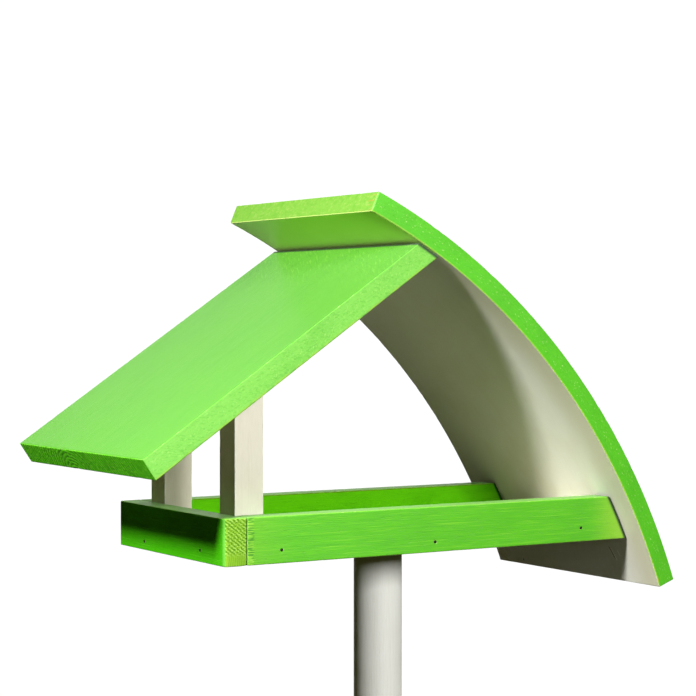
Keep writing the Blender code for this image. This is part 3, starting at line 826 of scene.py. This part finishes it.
def roof_underside(x):
    """Height of the roof board's lower face."""
    return EAVE_Z - ROOF_THICK / math.cos(ROOF_SLOPE) + (x - EAVE_X) * math.tan(ROOF_SLOPE)


def inner_box(node):
    """A node's lowest corner, middle and size, once its faces are moved inside by INSET."""
    low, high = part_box(node)
    low, high = low + Vector((INSET,) * 3), high - Vector((INSET,) * 3)
    return low, (low + high) / 2, high - low


def tray_boards():
    """The tray's front, sides and floor. The sides and the floor end at the curved panel."""
    low, middle, size = inner_box("front_board")
    board("front_board", Straight((middle.x, low.y, middle.z), (0, 1, 0), (0, 0, 1)),
          (size.y, size.z, size.x), (0.0022, 0.0035, 0.0035),
          (green_front, green_edge, front_end, bore_shade), 1,
          corner=(CORNER_RADIUS + INSET, 8))
    radius = ARC_RADIUS - TRAY_GAP - INSET
    for seed, name, side in ((2, "side_board_left", green_far), (3, "side_board_right", green_side)):
        low, middle, size = inner_box(name)
        layout = Straight((low.x, middle.y, middle.z), (1, 0, 0), (0, 0, 1),
                          lambda v, t: arc_reach(middle.z + v, radius) - low.x)
        item = board(name, layout, (size.x, size.z, size.y), (0.0025, 0.0035, 0.0045),
                     (side, green_edge, green_end, bore_shade), seed)
        note_seam(item, TRAY_GAP + INSET)
    low, middle, size = inner_box("floor_board")
    layout = Straight((low.x, 0.0, middle.z), (1, 0, 0), (0, 1, 0),
                      lambda v, t: arc_reach(middle.z + t, radius) - low.x)
    item = board("floor_board", layout, size, (0.005, 0.005, 0.005),
                 (green, green_edge, green_end, bore_shade, white_inside), 4)
    repaint(item, INNER, lambda face: face.normal.z > 0.0)


def post_pieces():
    """The two posts, cut to the roof's slope."""
    gap = (TOUCHING + INSET) / math.cos(ROOF_SLOPE)
    for seed, name in ((5, "post_left"), (6, "post_right")):
        low, middle, size = inner_box(name)
        layout = Straight((middle.x, middle.y, low.z), (0, 0, 1), (0, 1, 0),
                          lambda v, t: roof_underside(middle.x - t) - gap - low.z)
        board(name, layout, (size.z, size.y, size.x), (0.003, 0.004, 0.004),
              (white, white, white_end, bore_shade), seed)


def roof_piece():
    """The roof board, its upper end cut to the curved panel."""
    run, rise = math.cos(ROOF_SLOPE), math.sin(ROOF_SLOPE)
    width = inner_box("roof_board")[2].y
    half = ROOF_THICK / 2
    start = (EAVE_X + rise * half + run * INSET, 0.0, EAVE_Z - run * half + rise * INSET)
    radius = ARC_RADIUS - ROOF_GAP - INSET

    def reach(v, t):
        """Distance up the slope from the low end to the panel's circle."""
        x, z = start[0] - rise * t - ARC_X, start[2] + run * t - ARC_Z
        forward = x * run + z * rise
        return -forward + math.sqrt(forward ** 2 - (x * x + z * z - radius ** 2))

    layout = Straight(start, (run, 0, rise), (0, 1, 0), reach)
    item = board("roof_board", layout, (reach(0.0, 0.0), width, ROOF_THICK - 2 * INSET),
                 (0.0025, 0.006, 0.0045), (green_roof, green_sawn, roof_end, bore_shade, white_inside),
                 7)
    note_seam(item, ROOF_GAP + INSET)
    repaint(item, INNER, lambda face: face.normal.z < 0.0)


def polar(face):
    """A face's distance and angle from the curved panel's axis."""
    x, z = face.center.x - ARC_X, face.center.z - ARC_Z
    return math.hypot(x, z), math.atan2(z, x)


def panel_piece():
    """The bent panel: green outside, a pale painted-light green on its underside above the roof board,
    off-white inside.
    """
    width = inner_box("curved_panel")[2].y
    length = (PANEL_TOP - PANEL_BOTTOM) * Bent.middle - 2 * INSET
    item = board("curved_panel", Bent(), (length, width, PANEL_THICK - 2 * INSET),
                 (0.003, 0.006, 0.0035), (green, ply_edge, ply_end, bore_shade, white_ply, ply_over_painted_light),
                 8)
    # the overhang's underside gets the pale green of painted bounce light and reflection
    repaint(item, OVERHANG,
            lambda face: polar(face)[0] < Bent.middle and polar(face)[1] >= JOINT_ANGLE)
    repaint(item, INNER, lambda face: polar(face)[0] < Bent.middle)


# ---------------- the stand


def foot_boards():
    """The two crossed boards, their upper end edges cut away."""
    for seed, name, along, across in ((9, "foot_board_lower", (1, 0, 0), (0, -1, 0)),
                                      (10, "foot_board_upper", (0, 1, 0), (1, 0, 0))):
        low, middle, size = inner_box(name)
        axis = 0 if along[0] else 1
        middle[axis] = low[axis]
        board(name, Straight(middle, along, across), (size[axis], size[1 - axis], size.z),
              (0.006, 0.006, 0.006), (white, white, white_end, white), seed,
              corner=(FOOT_CHAMFER, 1))


def bounded(planes, grid):
    """A solid bounded by planes (point, outward normal), eased and divided by grid planes."""
    mesh = bmesh.new()
    bmesh.ops.create_cube(mesh, size=1.0)
    for point, normal in planes:
        everything = mesh.verts[:] + mesh.edges[:] + mesh.faces[:]
        cut = bmesh.ops.bisect_plane(mesh, geom=everything, dist=1e-7, plane_co=point,
                                     plane_no=normal, clear_outer=True)["geom_cut"]
        bmesh.ops.edgeloop_fill(mesh, edges=[e for e in cut if isinstance(e, bmesh.types.BMEdge)])
    bmesh.ops.recalc_face_normals(mesh, faces=mesh.faces[:])
    bmesh.ops.bevel(mesh, geom=mesh.edges[:], offset=EASING, segments=EASING_SEGMENTS,
                    affect="EDGES", profile=0.5)
    for point, normal in planes:
        cut_plane(mesh, Vector(point) - Vector(normal) * (EASING + SUPPORT), normal)
    for point, normal in grid:
        cut_plane(mesh, point, normal)
    return mesh


def braces():
    """Four slanted braces, each made facing +X and then turned."""
    base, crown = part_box("brace_front")[0].z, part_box("brace_front")[1].z
    toe, shoulder = POLE_RADIUS + BRACE_RUN, POLE_RADIUS + BRACE_BLUNT
    knee = base + BRACE_BLUNT
    half = BRACE_THICK / 2 - INSET
    slope = Vector((crown - knee, 0, toe - shoulder)).normalized()
    planes = [((POLE_RADIUS / 2, 0, 0), (-1, 0, 0)), ((0, 0, base + INSET), (0, 0, -1)),
              ((toe - INSET, 0, 0), (1, 0, 0)), ((0, 0, crown - INSET), (0, 0, 1)),
              (Vector((toe, 0, knee)) - slope * INSET, slope),
              ((0, half, 0), (0, 1, 0)), ((0, -half, 0), (0, -1, 0))]
    grid = [((x, 0, 0), (1, 0, 0)) for x in np.arange(BRACE_START, toe, GRID)]
    grid += [((0, 0, z), (0, 0, 1)) for z in np.arange(base + GRID, crown, GRID)]
    grid += [((0, 0, 0), (0, 1, 0))]
    grain_axes = np.array(((-slope.z, 0, slope.x), (slope.x, 0, slope.z), (0, 1, 0)))
    for turn, (seed, name) in enumerate(((12, "brace_rear"), (13, "brace_left"),
                                         (14, "brace_front"), (15, "brace_right"))):
        made = bounded(planes, grid)
        for face in made.faces:
            face.smooth = True
            face.material_index = FACE if abs(face.normal.y) > 0.7 else EDGE
        item = new_object(name + "_wood", made, (white, white, white_end, white))
        mesh = item.data
        points = vertex_array(mesh)
        nearness = edge_nearness(np.stack([(np.array(point) - points) @ np.array(normal)
                                           for point, normal in planes], axis=1))
        normals = np.array([v.normal for v in mesh.vertices])
        points = roughen(points, normals, nearness, seed)
        angle = turn * math.pi / 2
        spin = np.array(((math.cos(angle), math.sin(angle), 0),
                         (-math.sin(angle), math.cos(angle), 0), (0, 0, 1)))
        mesh.vertices.foreach_set("co", (points @ spin).ravel())
        write_attribute(mesh, "nearness", nearness)
        keep_inside(item, name, WALL)
        finish_wood(item, lambda places: places @ spin.T @ grain_axes.T, BRACE_LENGTH, seed)
        declare(item, name)


def turned(name, rings, dent, materials):
    """A turned piece about the Z axis from rings (height, radius), pressed in a little by dent."""
    made = bmesh.new()
    loops = []
    for z, radius in rings:
        loop = []
        for i in range(ROUND_SIDES):
            angle = 2 * math.pi * i / ROUND_SIDES
            x, y = math.cos(angle), math.sin(angle)
            reach = radius - dent * (0.5 + 0.5 * noise.noise(Vector((x * 2, y * 2, z * 12))))
            loop.append(made.verts.new((reach * x, reach * y, z)))
        loops.append(loop)
    for below, above in zip(loops, loops[1:]):
        for i in range(ROUND_SIDES):
            j = (i + 1) % ROUND_SIDES
            made.faces.new((below[i], below[j], above[j], above[i]))
    made.faces.new(loops[0][::-1])
    made.faces.new(loops[-1])
    return new_object(name, made, materials)


def eased_rings(low, size, ease, count):
    """Ring heights and radii of a turned piece of a size, with eased ends."""
    high, radius = low + size.z, size.x / 2
    start = [(low, radius - ease), (low + ease * 0.3, radius - ease * 0.3)]
    middle = [(low + ease + (high - low - 2 * ease) * i / count, radius) for i in range(count + 1)]
    return start + middle + [(high - ease * 0.3, radius - ease * 0.3), (high, radius - ease)]


def pole_piece():
    """The turned pole, a little uneven along its length."""
    low, _, size = inner_box("pole")
    rings = eased_rings(low.z, size, 0.0012, round(size.z / GRID))
    item = turned("pole_wood", rings, RELIEF, (white_pole, white_pole, white_end, bore_shade))
    keep_inside(item, "pole", WALL)
    write_attribute(item.data, "nearness", np.zeros(len(item.data.vertices)))
    finish_wood(item, lambda points: points[:, (2, 0, 1)], size.z, 11)
    declare(item, "pole")


def plate_piece():
    """The steel plate on the pole's top, its rim eased."""
    low, _, size = inner_box("pole_plate")
    item = turned("pole_plate_steel", eased_rings(low.z, size, 0.0006, 1), 0.0, (zinc,))
    keep_inside(item, "pole_plate", FACE)
    shade(item)
    declare(item, "pole_plate")


def screws():
    """The frame's screws, each with a cross recess in its head."""
    for name, item in list(frame["nodes"].items()):
        if "screw" not in name:
            continue
        points = vertex_array(item.data)
        middle = points.mean(axis=0)
        axis = np.linalg.svd(points - middle, full_matrices=False)[2][0]
        along = (points - middle) @ axis
        radius = np.linalg.norm(points - middle - along[:, None] * axis, axis=1)
        if along[radius > 0.9 * radius.max()].mean() < along.mean():
            axis, along = -axis, -along
        centre = middle + axis * along.max()
        turn = Vector(axis).to_track_quat("Z", "Y").to_matrix().to_4x4()
        made = bmesh.new()
        for twist in (0.0, math.pi / 2):
            arm = bmesh.ops.create_cube(made, size=1.0)["verts"]
            bmesh.ops.scale(made, vec=(RECESS_SPAN, RECESS_WIDTH, 2 * RECESS_DEPTH), verts=arm)
            for vert in arm:
                if vert.co.z < 0:
                    vert.co.x *= RECESS_TAPER[0]
                    vert.co.y *= RECESS_TAPER[1]
            spin = Matrix.Rotation(twist + RECESS_TURN, 3, "Z")
            bmesh.ops.rotate(made, verts=arm, matrix=spin)
        bmesh.ops.transform(made, matrix=Matrix.Translation(centre) @ turn, verts=made.verts)
        tool = new_object("recess", made)
        piece = solid_of(name, FACE)
        piece.name = name + "_steel"
        piece.data.materials.append(zinc)
        carve(piece, "DIFFERENCE", tool, crossed=True)
        shade(piece)
        declare(piece, name)


def carried_over():
    """Nodes of the frame that stay as they are, with finished materials."""
    looks = {"zinc_plated_steel": zinc, "nail_steel": nail_steel, "beech_dowel": beech}
    slots = {row["node"]: row["material_slot"] for row in frame["record"]["subparts"]}
    for name, item in frame["nodes"].items():
        if item.hide_render:
            continue
        item.data.materials.clear()
        item.data.materials.append(looks[slots[name]])


# ---------------- stage, lights, camera

EYE = Vector((-0.8932, -1.3924, RIM + 0.1460))
YAW = math.radians(31.83)
PITCH = math.radians(-0.785)
LENS = 103.97
AMBIENT = (1.0, 0.92, 0.18)
AMBIENT_STRENGTH = 0.030
PAPER = (1.0, 1.0, 1.0)
STAND = ("pole", "foot_", "brace_", "plate_")


def aimed(item, point, target):
    """Put a lamp or the camera at a point, looking at a target."""
    item.location = point
    item.rotation_euler = (Vector(target) - Vector(point)).to_track_quat("-Z", "Y").to_euler()


def area_light(name, target, azimuth, elevation, distance, size, power, lit):
    """A soft light seen from the target at an azimuth (from -Y towards -X) and an elevation.

    It lights only the objects of the collection lit."""
    light = bpy.data.lights.new(name, "AREA")
    light.shape = "RECTANGLE"
    light.size, light.size_y = size
    light.energy = power
    item = bpy.data.objects.new(name, light)
    bpy.context.scene.collection.objects.link(item)
    item.light_linking.receiver_collection = lit
    a, e = math.radians(azimuth), math.radians(elevation)
    way = Vector((-math.sin(a) * math.cos(e), -math.cos(a) * math.cos(e), math.sin(e)))
    aimed(item, Vector(target) + way * distance, target)
    return item


def lamps(floor):
    """The lamps: small keys for the house, its front board and the stand, and large soft ones."""
    house = (0.0, 0.0, RIM + 0.05)
    upper, front, lower, whole, ground = (bpy.data.collections.new("lit_" + name) for name in
                                          ("house", "front", "stand", "object", "floor"))
    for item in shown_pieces():
        near = lower if item.name.startswith(STAND) else upper
        (front if item.name.startswith("front_board") else near).objects.link(item)
        whole.objects.link(item)
    ground.objects.link(floor)
    area_light("key", house, 64.0, 30.5, 1.5, (0.18, 0.18), 48, upper)
    area_light("key_front", house, 64.0, 31.5, 1.5, (0.18, 0.18), 54, front)
    area_light("key_stand", house, 60.4, 52.0, 3.0, (0.50, 0.50), 145, lower)
    area_light("side", house, 0.2, 16.4, 2.6, (0.9, 0.7), 76, whole)
    area_light("back", (0, 0, 0.6), 250, 30.0, 3.4, (1.6, 1.2), 100, whole).visible_glossy = False
    area_light("overhead", (0, 0, 0), 0, 90.0, 3.0, (16.0, 16.0), 1080, ground)
    backdrop = area_light("backdrop", house, 211.8, 0.0, 2.5, (3.0, 3.0), 22, whole)
    backdrop.visible_camera = False


def surroundings():
    """Faint warm light from everywhere, and white behind the object."""
    world = bpy.data.worlds.new("studio")
    bpy.context.scene.world = world
    world.use_nodes = True
    tree = world.node_tree
    back = tree.nodes["Background"]
    rays = tree.nodes.new("ShaderNodeLightPath")
    paper = tree.nodes.new("ShaderNodeBackground")
    for shader, colour, strength in ((back, AMBIENT, AMBIENT_STRENGTH), (paper, PAPER, 1.05)):
        shader.inputs["Color"].default_value = (*colour, 1.0)
        shader.inputs["Strength"].default_value = strength
    mixed = tree.nodes.new("ShaderNodeMixShader")
    tree.links.new(rays.outputs["Is Camera Ray"], mixed.inputs[0])
    tree.links.new(back.outputs[0], mixed.inputs[1])
    tree.links.new(paper.outputs[0], mixed.inputs[2])
    tree.links.new(mixed.outputs[0], tree.nodes["World Output"].inputs["Surface"])


def pale_floor():
    """A plain round floor that throws no colour back."""
    made = bmesh.new()
    bmesh.ops.create_circle(made, cap_ends=True, segments=ROUND_SIDES, radius=FLOOR_RADIUS)
    pale = Finish("pale_floor")
    pale.set("Roughness", 0.8)
    pale.set("Base Color", (0.80, 0.80, 0.79))
    floor = new_object("floor", made, (pale.material,))
    floor.visible_diffuse = False
    floor.visible_glossy = False
    floor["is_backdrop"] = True
    return floor


def camera():
    """The camera, at the angle that the object is shown from."""
    lens = bpy.data.cameras.new("camera")
    lens.lens = LENS
    lens.sensor_width = 36.0
    item = bpy.data.objects.new("camera", lens)
    bpy.context.scene.collection.objects.link(item)
    level = math.cos(PITCH)
    aimed(item, EYE, EYE + Vector((math.sin(YAW) * level, math.cos(YAW) * level, math.sin(PITCH))))
    bpy.context.scene.camera = item


def studio():
    """The floor, the lamps, the surroundings and the camera."""
    bpy.context.scene.view_settings.view_transform = "Standard"
    lamps(pale_floor())
    surroundings()
    camera()


tray_boards()
post_pieces()
roof_piece()
panel_piece()
foot_boards()
braces()
pole_piece()
plate_piece()
screws()
carried_over()
studio()
